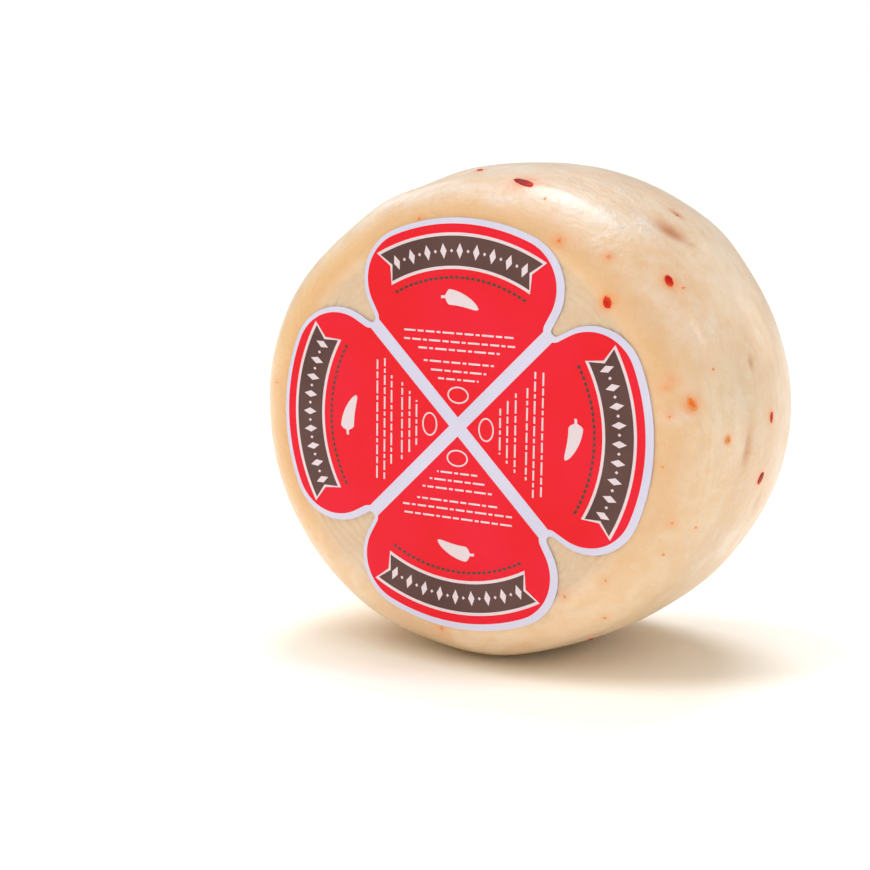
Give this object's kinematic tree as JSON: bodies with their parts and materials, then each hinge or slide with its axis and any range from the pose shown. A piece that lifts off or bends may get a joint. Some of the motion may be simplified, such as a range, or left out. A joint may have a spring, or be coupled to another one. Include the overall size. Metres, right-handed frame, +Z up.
{
  "type": "caciotta cheese wheel",
  "caption": "Whole round cheese with chilli flakes in its glossy pale rind, standing on its barrel-shaped edge, with a four-petalled paper label on one flat face.",
  "frame": {"origin": "bottom centre of the bounding box, in the plane of the small flat spot under the heel that the wheel rests on", "axes": "+Z up; Y along the wheel's axis, the labelled face looking towards -Y; +X to the right of someone facing the label"},
  "size_m": [0.1754, 0.096, 0.1645],
  "materials": {
    "rind": "satin, thin clear coating on a pale cream-yellow rind",
    "chilli": "satin, dried red chilli under the same coating",
    "label_paper": "smooth coated white paper",
    "label_red": "smooth coated paper printed red",
    "label_brown": "smooth coated paper printed dark brown"
  },
  "bodies": {
    "root": {"cheese_wheel": "rind", "label": "label_paper"}
  },
  "joints": []
}
